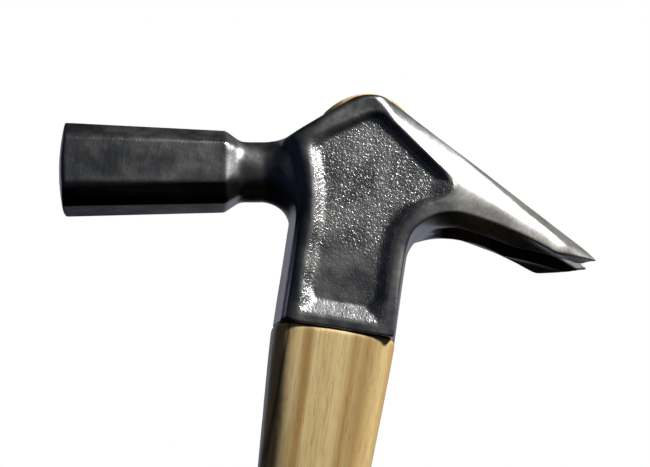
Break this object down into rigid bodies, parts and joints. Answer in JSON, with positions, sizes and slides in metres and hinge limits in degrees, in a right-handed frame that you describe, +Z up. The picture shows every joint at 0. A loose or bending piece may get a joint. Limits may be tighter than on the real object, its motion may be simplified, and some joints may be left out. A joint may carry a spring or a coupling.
{
  "type": "driving hammer",
  "caption": "Small farrier's driving hammer: forged steel head with octagonal poll and V-notched drooping claw, hung on an oval ash handle.",
  "frame": {"origin": "middle of the handle's flat butt face", "axes": "+Z up the handle to the head, -X to the poll, +X to the claw, Y across the head through both cheeks"},
  "size_m": [0.1219, 0.022, 0.3253],
  "materials": {
    "forged_steel": "dark forged and linished steel, pebbled panels, brushed poll",
    "ash": "clear-varnished ash, grain along the handle",
    "wedge_wood": "plain hardwood end grain",
    "wedge_steel": "bright steel, hammered over"
  },
  "bodies": {
    "root": {"hammer_head": "forged_steel", "handle": "ash", "wooden_wedge": "wedge_wood", "steel_wedge": "wedge_steel"}
  },
  "joints": []
}
